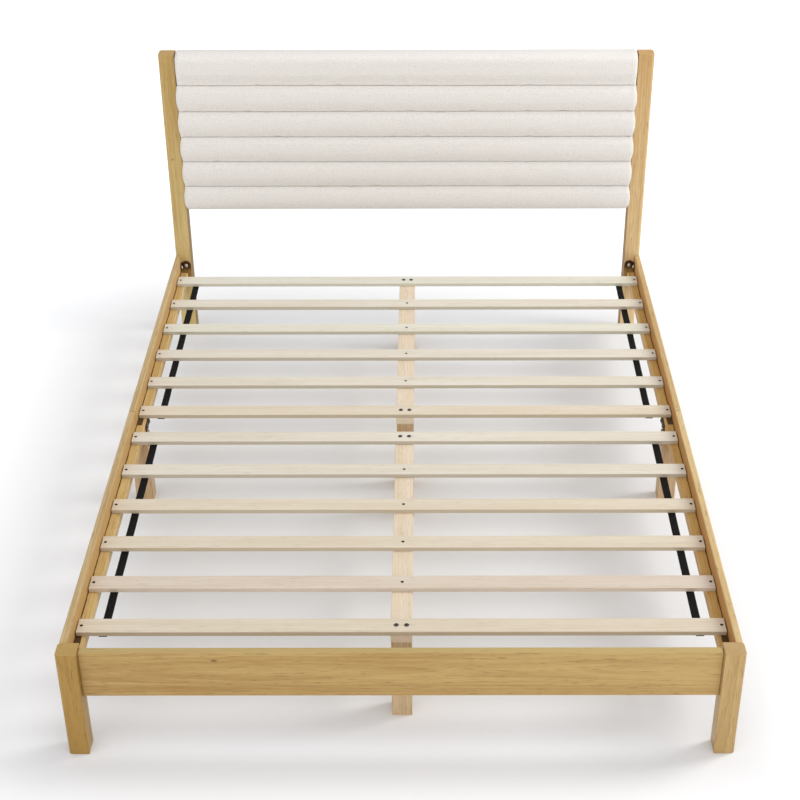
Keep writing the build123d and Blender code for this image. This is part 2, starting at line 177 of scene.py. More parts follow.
def wood_finish(name, box, grain, seed, pale, deep,
                rings=0.3, flecks=0.5, gloss=0.42, drift=0.0, glue=(), knots=(),
                end_tone=None, end_line=0.0, faces=(), gap_side=0):
    """Wood with growth rings about a pith beside the board, long fibres and short dark flecks.

    drift is how much deeper the tone gets from one end of the piece to the other, glue holds
    the heights of glued joints between strips, and knots the place along the grain, the place
    across the face and the radius of each knot. end_tone is the colour of the sawn ends, and
    end_line how far a dark line at the ends reaches, partly a dark joint and partly painted
    shade in the gap. faces holds the axis and side of each face that is given another tone and
    left duller, how far it differs and its tone; on inner faces and slat edges this tone is
    painted shade. gap_side is the side of a painted shadow line along a gap.
    """
    material, shader, place = new_finish(name)
    dice = random.Random(seed)
    middle = (box[0] + box[1]) / 2
    order = {"X": "YZX", "Y": "XZY", "Z": "YXZ"}[grain]
    centre = ["XYZ".index(axis) for axis in order]
    half_length = (box[1] - box[0])[centre[2]] / 2
    half_width = (box[1] - box[0])[centre[0]] / 2
    centred = place.node("Mapping", {}, {"Vector": place, "Location": -middle})
    apart = centred.node("SeparateXYZ", {}, {"Vector": centred})
    across, up, along = [apart.output(axis) for axis in order]

    sawn = along.maths("ABSOLUTE") > half_length - sawn_skin
    tone = along * (drift / (2 * half_length)) + (0.42 - rings / 2)
    pull = 0.0
    core = 0.0
    for length, height, size in knots:
        aside = (along - (length - middle[centre[2]])) * 0.55
        above = up - (height - middle[centre[1]])
        distance = (aside ** 2.0 + above ** 2.0) ** 0.5
        nearness = grey_steps(distance / (size * 6), (0.0, 1.0), (1.0, 0.0))
        pull = pull + nearness * nearness * size
        core = core + grey_steps(distance / size, (0.6, 1.0), (1.0, 0.0))
    from_end = half_length - along.maths("ABSOLUTE")
    from_foot = along + half_length
    joint = 0.0
    for height in glue:
        beside = up - (height - middle[centre[1]])
        upper = beside > 0.0
        joint = joint + (beside.maths("ABSOLUTE") < glue_line)
        tone = tone + upper * dice.choice((-0.16, 0.13))
        along = along + upper * 1.7

    spot = (across, up, along)
    pith = (dice.uniform(0.03, 0.09) * dice.choice((-1, 1)), dice.uniform(-0.05, 0.05))
    wander = grain_noise(spot, 6.0, 0.9, 1.0, dice.uniform(0, 50))
    radius = ((across - pith[0]) ** 2.0 + (up - pith[1]) ** 2.0) ** 0.5 + wander * 0.035 + pull
    turn = (radius / dice.uniform(0.006, 0.009)).maths("FRACT")
    ring = grey_steps(turn, (0.0, 0.1), (0.62, 0.75), (0.86, 1.0), (1.0, 0.1))
    streak = grain_noise(spot, 42.0, 2.2, 3.0, dice.uniform(0, 50))
    fibre = grain_noise(spot, 400.0, 20.0, 3.0, dice.uniform(0, 50))
    specks = grain_noise(spot, 300.0, 24.0, 1.0, dice.uniform(0, 50))
    fleck = grey_steps(specks, (0.64, 0.0), (0.72, 1.0))
    share = ring * rings + (streak - 0.5) * 1.3 + (fibre - 0.5) * 1.1 + tone
    dark = [channel * 0.5 for channel in deep[:3]] + [1.0]
    colour = between(fleck * flecks, between(share, pale, deep), dark)
    colour = between(sawn * 0.5, colour, end_tone or pale)
    if knots:
        colour = between(core * 0.75, colour, dark)
    if glue:
        colour = between(joint * 0.35, colour, dark)
    roughness = fibre * 0.16 + (gloss - 0.08)
    # Faces given another tone and made duller; on inner faces and slat edges the tone is painted
    # shade.
    for axis, side, difference, face_tone in faces:
        reach = (box[1] - box[0])["XYZ".index(axis)] / 2
        there = apart.output(axis) * side > reach - face_skin
        colour = between(there * difference, colour, face_tone)
        roughness = roughness + there * (0.35 * difference)
    # A dark line at the ends: partly a dark joint, partly painted shade in the gap.
    if end_line:
        colour = between((from_end < end_line) * 0.75, colour, dark)
    # A ragged painted shadow line along the gap to the rail, wider at the foot end.
    if gap_side:
        gap = fibre * gap_ragged + (from_foot < bracket_gap) * gap_wider + gap_least
        colour = between((across * gap_side > half_width - gap) * 0.95, colour, gap_shadow_brown)
    relief = fibre * 0.5 - fleck * 0.8
    bump = fibre.node("Bump", {}, {"Height": relief, "Strength": 0.35, "Distance": 0.0004})
    feed(shader, Base_Color=colour, Roughness=roughness, Normal=bump)
    shader.inputs["Specular IOR Level"].default_value = 0.3
    shader.inputs["Coat Weight"].default_value = 0.08
    shader.inputs["Coat Roughness"].default_value = 0.3
    return material


def dress(name, material):
    """Give a CAD node its material."""
    nodes[name].data.materials.clear()
    nodes[name].data.materials.append(material)


pin_knot = (0.655, -0.780, 0.003)
# The head posts' inner faces are painted a dark brown: a painted shade.
post_inner_shade = paint(132, 98, 54)
# Each row holds pale, deep and end tones, then how much the tone deepens towards the top; on the
# head posts this deepening is painted shade.
post_tones = {
    "foot_post_left": (paint(171, 136, 70), paint(139, 101, 41), paint(192, 160, 100), 0.0),
    "foot_post_right": (paint(194, 165, 112), paint(158, 121, 69), paint(183, 151, 103), 0.0),
    "head_post_left": (paint(206, 182, 124), paint(171, 138, 78), paint(186, 146, 82), 0.9),
    "head_post_right": (paint(218, 190, 142), paint(183, 146, 93), paint(194, 148, 84), 0.95),
}
for number, (name, (pale, deep, end_tone, drift)) in enumerate(post_tones.items()):
    inwards = 1 if name.endswith("left") else -1
    faces = [("X", inwards, 0.85, post_inner_shade)] if name.startswith("head") else []
    knots = [pin_knot] if name == "head_post_left" else []
    dress(name, wood_finish(name + "_wood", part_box(name), "Z", 11 + number, pale, deep,
                            drift=drift, knots=knots, end_tone=end_tone, faces=faces))

# ---- The foot panel ----
# A board of the same rubberwood, glued up from two strips with their grain along the bed's
# width. It is dowelled between the foot posts, and one small knot shows near its left end.
panel_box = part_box("foot_panel")
panel_glue = panel_box[0].z + 0.0325
panel_knot = (-0.434, panel_box[1].z - 0.022, 0.005)
panel_pale = paint(185, 154, 96)
panel_deep = paint(150, 112, 58)
panel_top = ("Z", 1, 0.5, paint(188, 167, 113))
# The panel's ends are painted dark where they meet the posts: partly the dark joint, partly painted
# shade in the gap.
dress("foot_panel", wood_finish("foot_panel_wood", panel_box, "X", 21, panel_pale, panel_deep,
                                drift=-0.35, glue=[panel_glue], knots=[panel_knot],
                                end_line=0.0026, faces=[panel_top]))

# ---- The side rails ----
# Each side is two rails that meet end to end over a leg. They are the same lacquered
# rubberwood as the posts, each glued up from two strips, with their long edges rounded over.
# Pale and deep tones for each side, then the tone of the inner faces' painted shade.
rail_tones = {
    "left": (paint(196, 170, 123), paint(161, 126, 76), paint(196, 154, 92)),
    "right": (paint(214, 187, 134), paint(176, 139, 84), paint(189, 129, 60)),
}
rail_names = [(side, half) for side in rail_tones for half in ("foot", "head")]
for number, (side, half) in enumerate(rail_names):
    name = f"side_rail_{side}_{half}"
    rail_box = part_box(name)
    rail_glue = rail_box[0].z + 0.04 + 0.02 * number
    pale, deep, inner_shade_tone = rail_tones[side]
    # The inner face is painted a warmer, deeper tone, which is painted shade, and each end gets a
    # thin dark line, partly the dark joint and partly painted shade in the gap.
    shaded_inner_face = ("X", 1 if side == "left" else -1, 0.75, inner_shade_tone)
    dress(name, wood_finish(name + "_wood", rail_box, "Y", 31 + number, pale, deep,
                            glue=[rail_glue], end_line=0.0014, faces=[shaded_inner_face]))

# ---- The ledgers, middle legs, centre beams and centre legs ----
# Sawn and planed battens of the same wood under the slats. They have a thinner coat of
# lacquer, so they are duller, and the centre beams are a paler batch. A ragged dark line is
# painted where ledger meets rail, a painted shadow of the gap, and it is wider at each
# ledger's foot end.
gap_shadow_brown = paint(64, 40, 20)
gap_least = 0.0004
gap_ragged = 0.0045
gap_wider = 0.014
bracket_gap = 0.078
batten_kinds = (
    ("ledger_left", "Y", paint(216, 187, 125), paint(176, 138, 79), 0.5, -1),
    ("ledger_right", "Y", paint(210, 172, 102), paint(171, 125, 63), 0.5, 1),
    ("centre_beam_", "Y", paint(230, 213, 190), paint(207, 186, 154), 0.55, 0),
    ("mid_leg_", "Z", paint(206, 176, 138), paint(168, 134, 92), 0.5, 0),
    ("centre_leg_", "Z", paint(209, 183, 144), paint(171, 138, 97), 0.5, 0),
)
for kind, (prefix, grain, pale, deep, gloss, gap_side) in enumerate(batten_kinds):
    batten_names = sorted(name for name in nodes
                          if name.startswith(prefix) and not name.endswith("bolts"))
    for number, name in enumerate(batten_names):
        dress(name, wood_finish(name + "_wood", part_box(name), grain, 41 + 4 * kind + number,
                                pale, deep, gloss=gloss, gap_side=gap_side))

# ---- The slats ----
# Twelve planed slats of pale poplar, cut from different boards, so that some are creamier
# and some pinker. They are left without lacquer, and the webbing below keeps them apart.
poplar_boards = {
    "cool": (paint(226, 222, 208), paint(206, 199, 176)),
    "cream": (paint(225, 217, 202), paint(206, 194, 172)),
    "yellow": (paint(223, 211, 192), paint(205, 188, 159)),
    "pink": (paint(219, 205, 189), paint(200, 181, 158)),
}
slat_boards = ("cool", "cream", "cool", "cream", "cream", "yellow",
               "cream", "cream", "yellow", "yellow", "pink", "yellow")
# The slats' long edges are painted darker: partly the sawn wood's own tone, mostly painted shade,
# set slat by slat by how the light falls on them.
edge_shade_share = {"slat_01": 0.5, "slat_09": 0.75, "slat_10": 0.7, "slat_11": 0.0, "slat_12": 0.55}
slat_names = sorted(name for name in nodes if name.startswith("slat_") and name[5:].isdigit())
for number, (name, board) in enumerate(zip(slat_names, slat_boards)):
    pale, deep = poplar_boards[board]
    edge_shade_tone = [channel * 0.8 for channel in deep[:3]] + [1.0]
    shaded_sawn_edges = [("Y", side, edge_shade_share.get(name, 0.95), edge_shade_tone) for side in (-1, 1)]
    dress(name, wood_finish(name + "_wood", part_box(name), "X", 61 + number, pale, deep,
                            rings=0.35, flecks=0.25, gloss=0.5, faces=shaded_sawn_edges))


# ---- The slat screws ----
# Countersunk steel wood screws, blackened, with a cross recess. One holds each slat end down
# on its ledger, and one holds the middle of eight slats down on the centre beams.
def turned(profile, sides):
    """Turn a profile of (radius, height) pairs, from the bottom up, about the Z axis."""
    mesh = bmesh.new()
    corners = [mesh.verts.new((radius, 0, height)) for radius, height in profile]
    edges = [mesh.edges.new(pair) for pair in zip(corners, corners[1:])]
    bmesh.ops.spin(mesh, geom=corners + edges, cent=(0, 0, 0), axis=(0, 0, 1), angle=2 * math.pi,
                   steps=sides, use_merge=True)
    bmesh.ops.remove_doubles(mesh, verts=mesh.verts, dist=0.000001)
    return mesh


def sink_drive(mesh, outline, depth, narrowing):
    """Sink a driver's socket into the open rim at the top of a turned head."""
    top = max(corner.co.z for corner in mesh.verts)
    rim = [edge for edge in mesh.edges if edge.is_boundary and edge.verts[0].co.z > top - 0.00001]
    for drop, share in ((0.0, 1.0), (depth, narrowing)):
        grown = bmesh.ops.extrude_edge_only(mesh, edges=rim)["geom"]
        rim = [part for part in grown if isinstance(part, bmesh.types.BMEdge) and part.is_boundary]
        for corner in {end for edge in rim for end in edge.verts}:
            angle = math.atan2(corner.co.y, corner.co.x)
            reach = outline(angle) * share
            corner.co = (math.cos(angle) * reach, math.sin(angle) * reach, top - drop)
    bmesh.ops.edgeloop_fill(mesh, edges=rim)
    bmesh.ops.recalc_face_normals(mesh, faces=mesh.faces)


def repeated(pattern, seats):
    """Copies of a fastener: its head at each seat, its shank along the seat's direction."""
    mesh = bmesh.new()
    stock = bpy.data.meshes.new("stock")
    pattern.to_mesh(stock)
    for spot, direction, twist in seats:
        before = len(mesh.verts)
        mesh.from_mesh(stock)
        mesh.verts.ensure_lookup_table()
        turn = (-Vector(direction)).to_track_quat("Z", "Y").to_matrix().to_4x4()
        place = Matrix.Translation(spot) @ turn @ Matrix.Rotation(twist, 4, "Z")
        bmesh.ops.transform(mesh, matrix=place, verts=mesh.verts[before:])
    bpy.data.meshes.remove(stock)
    return mesh


def add_piece(name, mesh, material, slot, *replaced, crisp=40):
    """Make an object of a finished mesh, smooth but for edges that turn over crisp degrees."""
    data = bpy.data.meshes.new(name)
    mesh.to_mesh(data)
    mesh.free()
    data.polygons.foreach_set("use_smooth", [True] * len(data.polygons))
    data.set_sharp_from_angle(angle=math.radians(crisp))
    piece = bpy.data.objects.new(name, data)
    bpy.context.scene.collection.objects.link(piece)
    data.materials.append(material)
    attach(piece, "root")
    if replaced:
        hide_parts(*replaced)
    return piece


def metal_finish(name, bright, dull, roughness, metallic=1.0, painted_reflection=None):
    """Plated or blackened steel with a cloudy surface and fine marks of handling.

    The last argument gives a height below which the coating is painted lighter, a painted
    reflection, and the colour it is painted there.
    """
    material, shader, place = new_finish(name)
    cloud = place.node("TexNoise", {}, {"Vector": place, "Scale": 260.0, "Detail": 4.0})
    marks = place.node("TexNoise", {}, {"Vector": place, "Scale": 2400.0, "Detail": 2.0})
    bump = marks.node("Bump", {}, {"Height": marks, "Strength": 0.2, "Distance": 0.00005})
    colour = between(cloud, bright, dull)
    if painted_reflection:
        height = place.node("SeparateXYZ", {}, {"Vector": place}).output("Z")
        # Below the height the coating is painted lighter and golden: a painted reflection.
        thin = grey_steps((height + cloud * 0.01 - painted_reflection[0]) / 0.014, (0.0, 1.0), (1.0, 0.0))
        colour = between(thin * 0.9, colour, painted_reflection[1])
    feed(shader, Base_Color=colour, Roughness=cloud * 0.2 + (roughness - 0.1), Normal=bump)
    shader.inputs["Metallic"].default_value = metallic
    return material


screw_black = metal_finish("black_screw_steel", paint(58, 50, 46), paint(30, 27, 26), 0.42)
screw_inset = 0.0085
screw_radius = 0.0042
shank_radius = 0.002
screw_length = 0.034
screw_point = 0.006
screw_taper = 0.010
screw_edge = 0.0003
cross_rim = 0.0026


def cross_recess(angle):
    """How far a cross recess reaches at an angle."""
    return 0.0007 + 0.0014 * abs(math.cos(2 * angle)) ** 3


screw = turned([
    (0.0, -screw_length), (shank_radius * 0.7, -screw_length + screw_point),
    (shank_radius, -screw_length + screw_taper), (shank_radius, -screw_radius + shank_radius),
    (screw_radius, -screw_edge), (screw_radius - 0.0002, 0.0), (cross_rim, 0.0),
], sides=32)
sink_drive(screw, cross_recess, depth=0.0016, narrowing=0.35)

leg_slats = ("slat_01", "slat_06", "slat_07", "slat_12")
screw_seats = []
screw_dice = random.Random(5)
for name in slat_names:
    low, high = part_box(name)
    places = [low.x + screw_inset, high.x - screw_inset]
    if name not in leg_slats:
        places.append(0.0)
    for x in places:
        twist = screw_dice.uniform(0, math.pi)
        screw_seats.append(((x, (low.y + high.y) / 2, high.z), (0, 0, -1), twist))
add_piece("cross_head_screws", repeated(screw, screw_seats), screw_black,
          "black_screw", "slat_screws")
screw.free()

# ---- The machine bolts ----
# Low round-headed steel bolts with a hexagon socket, plated dark grey. They hold the brackets
# to posts and rails, where their plating is bright, tie the ledgers and middle legs to the
# rails, and two go down into each centre leg through the slat and the beam.
bolt_grey = metal_finish("dark_plated_steel", paint(112, 106, 104), paint(78, 73, 72), 0.36)
bolt_bright = metal_finish("bright_plated_steel", paint(226, 218, 204), paint(170, 160, 144), 0.3)
bolt_shank = 0.003
hexagon_rim = 0.0026


def hexagon(angle):
    """How far a hexagon socket, 3.8 mm across its flats, reaches at an angle."""
    return 0.0019 / math.cos((angle + math.pi / 6) % (math.pi / 3) - math.pi / 6)


def machine_bolt(head_radius, head_height, length):
    """A bolt with a domed head that stands on Z = 0, its shank below."""
    shank = [(0.0, -length), (bolt_shank * 0.8, -length), (bolt_shank, -length + 0.001),
             (bolt_shank, 0.0), (head_radius, 0.0)]
    dome = [(head_radius * math.cos(turn), head_height * (0.35 + 0.65 * math.sin(turn)))
            for turn in (0.0, 0.35, 0.7, 1.0)]
    bolt = turned(shank + dome + [(hexagon_rim, head_height)], sides=36)
    sink_drive(bolt, hexagon, depth=head_height * 0.6, narrowing=0.96)
    return bolt


bracket_names = [f"corner_bracket_{half}_{side}"
                 for half in ("foot", "head") for side in ("left", "right")]
plate_thickness = 0.003
hole_drops = (0.017, 0.073)
bracket_seats = []
for name in bracket_names:
    low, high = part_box(name)
    middle = (low + high) / 2
    side = 1 if name.endswith("right") else -1
    end = 1 if "head" in name else -1
    rail_seat = (high.x if side > 0 else low.x) - side * plate_thickness
    post_seat = (high.y if end > 0 else low.y) - end * plate_thickness
    for drop in hole_drops:
        bolt_z = high.z - drop
        bracket_seats.append(((middle.x, post_seat, bolt_z), (0, end, 0), 0.3 + drop))
        bracket_seats.append(((rail_seat, middle.y, bolt_z), (side, 0, 0), 0.9 - drop))
bracket_bolt = machine_bolt(head_radius=0.0065, head_height=0.004, length=0.014)
add_piece("bracket_socket_bolts", repeated(bracket_bolt, bracket_seats), bolt_bright,
          "bolt_steel", "bracket_bolts")
bracket_bolt.free()

joint_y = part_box("side_rail_left_foot")[1].y
plate_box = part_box("rail_joint_plates")
plate_height = (plate_box[0].z + plate_box[1].z) / 2
leg_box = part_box("mid_leg_right")
tongue_height = (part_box("side_rail_right_foot")[0].z + leg_box[1].z) / 2
plate_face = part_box("ledger_right_foot")[0].x - plate_thickness
plate_bolts = [(plate_face, along, plate_height) for along in (0.016, 0.046)]
tongue_bolts = [(leg_box[0].x, along, tongue_height) for along in (-0.013, 0.013)]
joint_seats = []
for side in (-1, 1):
    for face, along, height in plate_bolts + tongue_bolts:
        joint_seats.append(((side * face, joint_y + along, height), (side, 0, 0), along * 30))
joint_bolt = machine_bolt(head_radius=0.0065, head_height=0.004, length=0.04)
add_piece("joint_socket_bolts", repeated(joint_bolt, joint_seats), bolt_grey,
          "bolt_steel", "rail_joint_bolts")
joint_bolt.free()

centre_bolts_x = (-0.0125, 0.0125)
centre_seats = []
for name in leg_slats:
    low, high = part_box(name)
    for x in centre_bolts_x:
        centre_seats.append(((x, (low.y + high.y) / 2, high.z), (0, 0, -1), x * 40))
centre_bolt = machine_bolt(head_radius=0.006, head_height=0.0024, length=0.07)
add_piece("centre_socket_bolts", repeated(centre_bolt, centre_seats), bolt_grey,
          "bolt_steel", "centre_leg_bolts")
centre_bolt.free()


# ---- The corner brackets, the joint plates and the inserts ----
# Brackets are steel strip with round tops, bent to a right angle and coated dark bronze, which
# is painted lighter and golden below their bolts, a painted reflection, and they clamp the rails
# to the posts. A flat plate ties the ledgers at each rail joint. The bolts run into zinc inserts
# in the wood.
def softened(name, width, segments=2):
    """A copy of a CAD node with its loose triangles welded and its sharp edges broken."""
    mesh = bmesh.new()
    mesh.from_mesh(nodes[name].data)
    bmesh.ops.remove_doubles(mesh, verts=mesh.verts, dist=0.00001)
    bmesh.ops.dissolve_limit(mesh, angle_limit=math.radians(1), verts=mesh.verts, edges=mesh.edges)
    sharp = [edge for edge in mesh.edges
             if edge.is_manifold and edge.calc_face_angle() > math.radians(50)]
    bmesh.ops.bevel(mesh, geom=sharp, offset=width, affect="EDGES", segments=segments,
                    profile=0.5, material=-1, clamp_overlap=True)
    return mesh


reflection_height = 0.249
bronze = metal_finish("dark_bronze_coating", paint(92, 66, 52), paint(58, 42, 36),
                      roughness=0.5, metallic=0.75)
bronze_lit_below = metal_finish("worn_bronze_coating", paint(104, 68, 42), paint(60, 40, 26),
                           roughness=0.5, metallic=0.75,
                           painted_reflection=(reflection_height, paint(164, 130, 74)))
for name in bracket_names:
    add_piece(name + "_bent", softened(name, width=0.0006), bronze_lit_below, "bronze_steel", name)
add_piece("joint_tie_plates", softened("rail_joint_plates", width=0.0004), bronze,
          "bronze_steel", "rail_joint_plates")
zinc = metal_finish("bright_zinc", paint(196, 196, 198), paint(160, 160, 164), 0.34)
for name in ("bracket_inserts", "strap_staples"):
    dress(name, zinc)
dress("board_screws", screw_black)

# ---- The webbing straps ----
# Flat black polypropylene webbing, 20 mm wide, stapled below the slats to keep them at their
# distance. It sags a little between them, and its ends are turned under and stapled double.
webbing, webbing_shader, webbing_place = new_finish("black_polypropylene_webbing")
webbing_apart = webbing_place.node("SeparateXYZ", {}, {"Vector": webbing_place})
rib_pitch = 0.0021
yarn_pitch = 0.0017
rib = (webbing_apart.output("Y") * (math.tau / rib_pitch)).maths("SINE")
warp = (webbing_apart.output("X") * (math.tau / yarn_pitch)).maths("SINE")
weave = rib * warp * 0.5 + 0.5
sheen = webbing_place.node("TexNoise", {}, {"Vector": webbing_place, "Scale": 60.0, "Detail": 3.0})
webbing_bump = weave.node("Bump", {}, {"Height": weave, "Strength": 0.7, "Distance": 0.0004})
# The raised yarns are painted lighter and the hollows between them darker: a painted shade of the
# weave.
webbing_colour = between(weave * 0.7 + sheen * 0.3, paint(8, 7, 6), paint(24, 22, 20))
feed(webbing_shader, Base_Color=webbing_colour, Roughness=sheen * 0.25 + 0.5,
     Normal=webbing_bump)
webbing_shader.inputs["Specular IOR Level"].default_value = 0.15
strap_thickness = 0.0016
strap_fold = 0.024
strap_sag = 0.001


def strap_route(box, centres, half_slat):
    """Points along one strap in Y and Z, with a folded end, sagging spans and a folded end."""
    top = box[1].z
    layers = (top - strap_thickness * 0.5, top - strap_thickness * 1.5)
    middle = top - strap_thickness
    fold_radius = strap_thickness / 2
    turns = [math.pi * step / 6 for step in range(7)]
    folds = [(fold_radius * (1.6 - math.sin(turn)), fold_radius * math.cos(turn))
             for turn in turns]
    route = [(box[0].y + strap_fold, layers[1])]
    route += [(box[0].y + inset, middle - below) for inset, below in folds]
    for here, there in zip(centres, centres[1:]):
        start, stop = here + half_slat, there - half_slat
        for step in range(13):
            share = step / 12
            sag = strap_sag * math.sin(math.pi * share) ** 2
            route.append((start + (stop - start) * share, layers[0] - sag))
    route += [(box[1].y - inset, middle + above) for inset, above in folds]
    route.append((box[1].y - strap_fold, layers[1]))
    return route


slat_centres = {name: (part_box(name)[0].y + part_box(name)[1].y) / 2 for name in slat_names}
half_slat = (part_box("slat_01")[1].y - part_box("slat_01")[0].y) / 2
strap_names = sorted(name for name in nodes if name.startswith("webbing_strap_"))
for number, name in enumerate(strap_names):
    strap_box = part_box(name)
    centres = sorted(y for y in slat_centres.values() if strap_box[0].y < y < strap_box[1].y)
    route = strap_route(strap_box, centres, half_slat)
    across = np.linspace(strap_box[0].x, strap_box[1].x, 5)
    mesh = bmesh.new()
    cut_end = [mesh.verts.new((x, *route[0])) for x in across]
    edges = [mesh.edges.new(pair) for pair in zip(cut_end, cut_end[1:])]
    for spot, following in zip(route, route[1:]):
        grown = bmesh.ops.extrude_edge_only(mesh, edges=edges)["geom"]
        edges = [part for part in grown if isinstance(part, bmesh.types.BMEdge)
                 and abs(part.verts[0].co.x - part.verts[1].co.x) > 0.001]
        step = Vector((0, following[0] - spot[0], following[1] - spot[1]))
        corners = list({end for edge in edges for end in edge.verts})
        bmesh.ops.translate(mesh, vec=step, verts=corners)
    bmesh.ops.remove_doubles(mesh, verts=mesh.verts, dist=0.000001)
    for corner in mesh.verts:
        corner.co.x += 0.0006 * noise.noise((number * 7.0, corner.co.y * 5, 0))
    bmesh.ops.recalc_face_normals(mesh, faces=mesh.faces)
    strap = add_piece(name + "_woven", mesh, webbing, "webbing", name, crisp=80)
    strap.modifiers.new("thickness", "SOLIDIFY").thickness = strap_thickness * 0.9
    strap.modifiers["thickness"].offset = 0

# ---- Inside the headboard ----
# A plywood board, with two battens screwed behind it that are dowelled between the head posts.
# The channels are sewn through the board, and the back cover is stapled to the battens. All
# this wood is left raw.
ply_pale = paint(214, 190, 150)
ply_deep = paint(180, 150, 108)
inner_names = ("headboard_board", "headboard_top_batten", "headboard_bottom_batten", "dowels")
for number, name in enumerate(inner_names):
    dress(name, wood_finish(name + "_wood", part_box(name), "X", 91 + number, ply_pale, ply_deep,
                            gloss=0.7))

# ---- The headboard's channels ----
# Six long channels of polyester filling under off-white nubby cloth, sewn through to the board
# between them. Each is a stuffed tube that presses on its neighbours, so a narrow crease shows
# at each seam, and the top one is taller and rolls over the board.
cloth_white, cloth_shader, cloth_place = new_finish("off_white_nubby_cloth")
nub_place = cloth_place.node("Mapping", {}, {"Vector": cloth_place, "Scale": (330.0, 300.0, 300.0)})
nubs = nub_place.node("TexVoronoi", {"feature": "SMOOTH_F1"}, {
    "Vector": nub_place, "Scale": 1.0, "Smoothness": 0.35, "Randomness": 0.75})
fuzz = cloth_place.node("TexNoise", {}, {"Vector": cloth_place, "Scale": 1500.0, "Detail": 3.0})
shade = cloth_place.node("TexNoise", {}, {"Vector": cloth_place, "Scale": 7.0, "Detail": 2.0})
nub_height = 1.0 - nubs + fuzz * 0.35
# The yarn is painted darker in the hollows between the nubs, a painted shade, and flecked by the
# fuzz.
yarn = between(nubs * 0.75 + fuzz * 0.25, paint(240, 236, 230), paint(200, 194, 186))
yarn = between(shade * 0.12, yarn, paint(226, 215, 202))
cloth_bump = nubs.node("Bump", {}, {"Height": nub_height, "Strength": 0.8, "Distance": 0.0012})
feed(cloth_shader, Base_Color=yarn, Roughness=fuzz * 0.1 + 0.82, Normal=cloth_bump)
cloth_shader.inputs["Sheen Weight"].default_value = 0.25
cloth_shader.inputs["Sheen Roughness"].default_value = 0.5

core_boxes = [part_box(name) for name in inner_names[:3]]
core_low = Vector([min(box[0][axis] for box in core_boxes) for axis in range(3)])
core_high = Vector([max(box[1][axis] for box in core_boxes) for axis in range(3)])
stitch_step = 0.0055
end_round = 0.016
seam_end = 0.028
seam_rise = 0.012
seam_reach = 0.03
sewn_thickness = 0.013
slack = 0.93
swelling = 0.0026
side_bulge = 0.0085
seam_fill = 0.12
crown_flat = 1.6
filling_drop = 0.0025


def outline_of(name):
    """The outline of a CAD node where X is 0, as a closed loop of points in Y and Z."""
    mesh = bmesh.new()
    mesh.from_mesh(nodes[name].data)
    bmesh.ops.remove_doubles(mesh, verts=mesh.verts, dist=0.00001)
    parts = mesh.verts[:] + mesh.edges[:] + mesh.faces[:]
    cut = bmesh.ops.bisect_plane(mesh, geom=parts, plane_co=(0, 0, 0), plane_no=(1, 0, 0))
    spare = [part for part in cut["geom_cut"] if isinstance(part, bmesh.types.BMEdge)]
    loop = [spare[0].verts[0]]
    while spare:
        edge = next(edge for edge in loop[-1].link_edges if edge in spare)
        spare.remove(edge)
        loop.append(edge.other_vert(loop[-1]))
    points = [Vector((spot.co.y, spot.co.z)) for spot in loop[1:]]
    mesh.free()
    formers = points[-1:] + points
    return [point for point, former in zip(points, formers) if (point - former).length > 0.00005]


def evenly(points, spacing):
    """The same closed loop with even spaces, and a point at each of its corners."""
    count = len(points)
    into = [point - points[index - 1] for index, point in enumerate(points)]
    corners = [index for index in range(count)
               if into[index].angle(into[(index + 1) % count]) > math.radians(35)]
    stretches = []
    for start, stop in zip(corners, corners[1:] + [corners[0] + count]):
        stretch = np.array([points[index % count] for index in range(start, stop + 1)])
        lengths = np.linalg.norm(np.diff(stretch, axis=0), axis=1)
        travelled = np.concatenate([[0.0], np.cumsum(lengths)])
        spaces = max(1, round(travelled[-1] / spacing))
        marks = np.linspace(0, travelled[-1], spaces, endpoint=False)
        y, z = [np.interp(marks, travelled, stretch[:, axis]) for axis in (0, 1)]
        stretches.append(np.column_stack([y, z]))
    return np.vstack(stretches)


def fuller(loop, seams, share):
    """The outline where its seams are less deep, as near the pad's ends."""
    y, z = loop.T
    behind = np.clip(np.minimum(y - (core_low.y - 2 * seam_rise), core_low.y - y), 0, None)
    distance = np.min([abs(z - seam) for seam in seams], axis=0)
    beside = np.clip(1 - distance / seam_reach, 0, 1)
    return np.column_stack([y - share * behind * beside, z])


def drawn_pad(loop, seams, half_width, number):
    """A pad of this outline along X, which thins to the board's faces in a round end."""
    mesh = bmesh.new()
    turns = [0.15, 0.35, 0.6, 0.85, 1.1, 1.3, 1.45]
    ends = [(half_width - end_round * (1 - math.sin(turn) ** (2 / 3)), math.cos(turn) ** (2 / 3))
            for turn in turns]
    straight = half_width - end_round
    stations = [(-x, fullness) for x, fullness in reversed(ends)]
    stitches = round(2 * straight / stitch_step)
    stations += [(x, 1.0) for x in np.linspace(-straight, straight, stitches)]
    stations += ends
    board_side = np.clip(loop, (core_low.y, core_low.z), (core_high.y, core_high.z))
    rings = []
    for x, fullness in stations:
        filling = fullness * slack * (1 + 0.012 * noise.noise((x * 5, number * 3.1, 0)))
        nearness = max(0.0, 1 - (half_width - abs(x)) / seam_end)
        rise = seam_fill + (0.8 - seam_fill) * math.sin(nearness * math.pi / 2)
        ring = board_side + (fuller(loop, seams, rise) - board_side) * filling
        rings.append([mesh.verts.new((x, y, z)) for y, z in ring])
    for ring, following in zip(rings, rings[1:]):
        for index in range(len(loop)):
            mesh.faces.new((ring[index - 1], ring[index], following[index], following[index - 1]))
    caps = [mesh.faces.new(rings[0]), mesh.faces.new(rings[-1])]
    bmesh.ops.triangulate(mesh, faces=caps)
    bmesh.ops.recalc_face_normals(mesh, faces=mesh.faces)
    return mesh, len(stations)


def places_of(mesh):
    """The mesh's points as an array of rows."""
    spots = np.zeros(len(mesh.vertices) * 3)
    mesh.vertices.foreach_get("co", spots)
    return spots.reshape(-1, 3)


